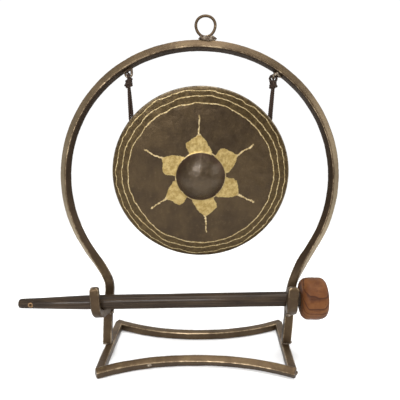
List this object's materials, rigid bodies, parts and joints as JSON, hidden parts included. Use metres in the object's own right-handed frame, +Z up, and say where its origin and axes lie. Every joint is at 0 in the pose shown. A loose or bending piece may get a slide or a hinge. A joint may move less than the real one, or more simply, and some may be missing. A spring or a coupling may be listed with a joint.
{
  "type": "tam tam gong",
  "caption": "Bossed bronze gong hung by doubled cords in a round wrought-iron table stand, with a turned mallet lying in front hooks.",
  "frame": {"origin": "on the table, under the middle of the object's bounding box", "axes": "+Z up, along the arch's height; +X to the right across the arch, towards the mallet's head; -Y towards the player, the side that the gong's boss and the mallet are on"},
  "size_m": [0.2772, 0.101, 0.2946],
  "materials": {
    "wrought_iron": "dark brown lacquer over hammered square bar, satin",
    "weld_metal": "weld bead under thin brown lacquer, satin",
    "gong_bronze": "hammered bronze with a dark brown patina and worn gold lines, satin",
    "dark_cord": "dark brown twisted cord, matt",
    "handle_lacquer": "turned wood, dark brown lacquer, satin",
    "head_wood": "turned reddish-brown hardwood with open grain, thin varnish"
  },
  "bodies": {
    "stand": {"arch_bar": "wrought_iron", "base_front_rail": "wrought_iron", "base_back_rail": "wrought_iron", "base_left_side_bar": "wrought_iron", "base_right_side_bar": "wrought_iron", "corner_weld_front_left": "weld_metal", "corner_weld_front_right": "weld_metal", "corner_weld_back_left": "weld_metal", "corner_weld_back_right": "weld_metal", "leg_weld_left": "weld_metal", "leg_weld_right": "weld_metal", "mallet_hook_left": "wrought_iron", "mallet_hook_right": "wrought_iron", "hook_weld_left": "weld_metal", "hook_weld_right": "weld_metal", "hanging_ring": "wrought_iron", "hanging_ring_weld": "weld_metal", "cord_eye_left": "weld_metal", "cord_eye_right": "weld_metal", "eye_weld_left": "weld_metal", "eye_weld_right": "weld_metal"},
    "cords": {"cord_loop_left": "dark_cord", "cord_loop_right": "dark_cord", "cord_knot_left": "dark_cord", "cord_knot_right": "dark_cord", "cord_left_inner_strand": "dark_cord", "cord_left_outer_strand": "dark_cord", "cord_right_inner_strand": "dark_cord", "cord_right_outer_strand": "dark_cord"},
    "gong": {"gong": "gong_bronze", "stopper_knot_left": "dark_cord", "stopper_knot_right": "dark_cord", "cord_end_left": "dark_cord", "cord_end_right": "dark_cord"},
    "mallet": {"mallet_handle": "handle_lacquer", "mallet_head": "head_wood"}
  },
  "joints": [
    {"name": "cord_swing", "type": "hinge", "parent": "stand", "child": "cords", "pos_m": [0.0192, 0.00135, 0.2448], "axis": [1, 0, 0], "range_deg": [-30, 30]},
    {"name": "gong_tilt", "type": "hinge", "parent": "cords", "child": "gong", "pos_m": [0.02, 0.00135, 0.208], "axis": [1, 0, 0], "range_deg": [-25, 25]},
    {"name": "mallet_lift", "type": "slide", "parent": "stand", "child": "mallet", "axis": [0.7071, 0, 0.7071], "range_m": [0, 0.036]}
  ]
}
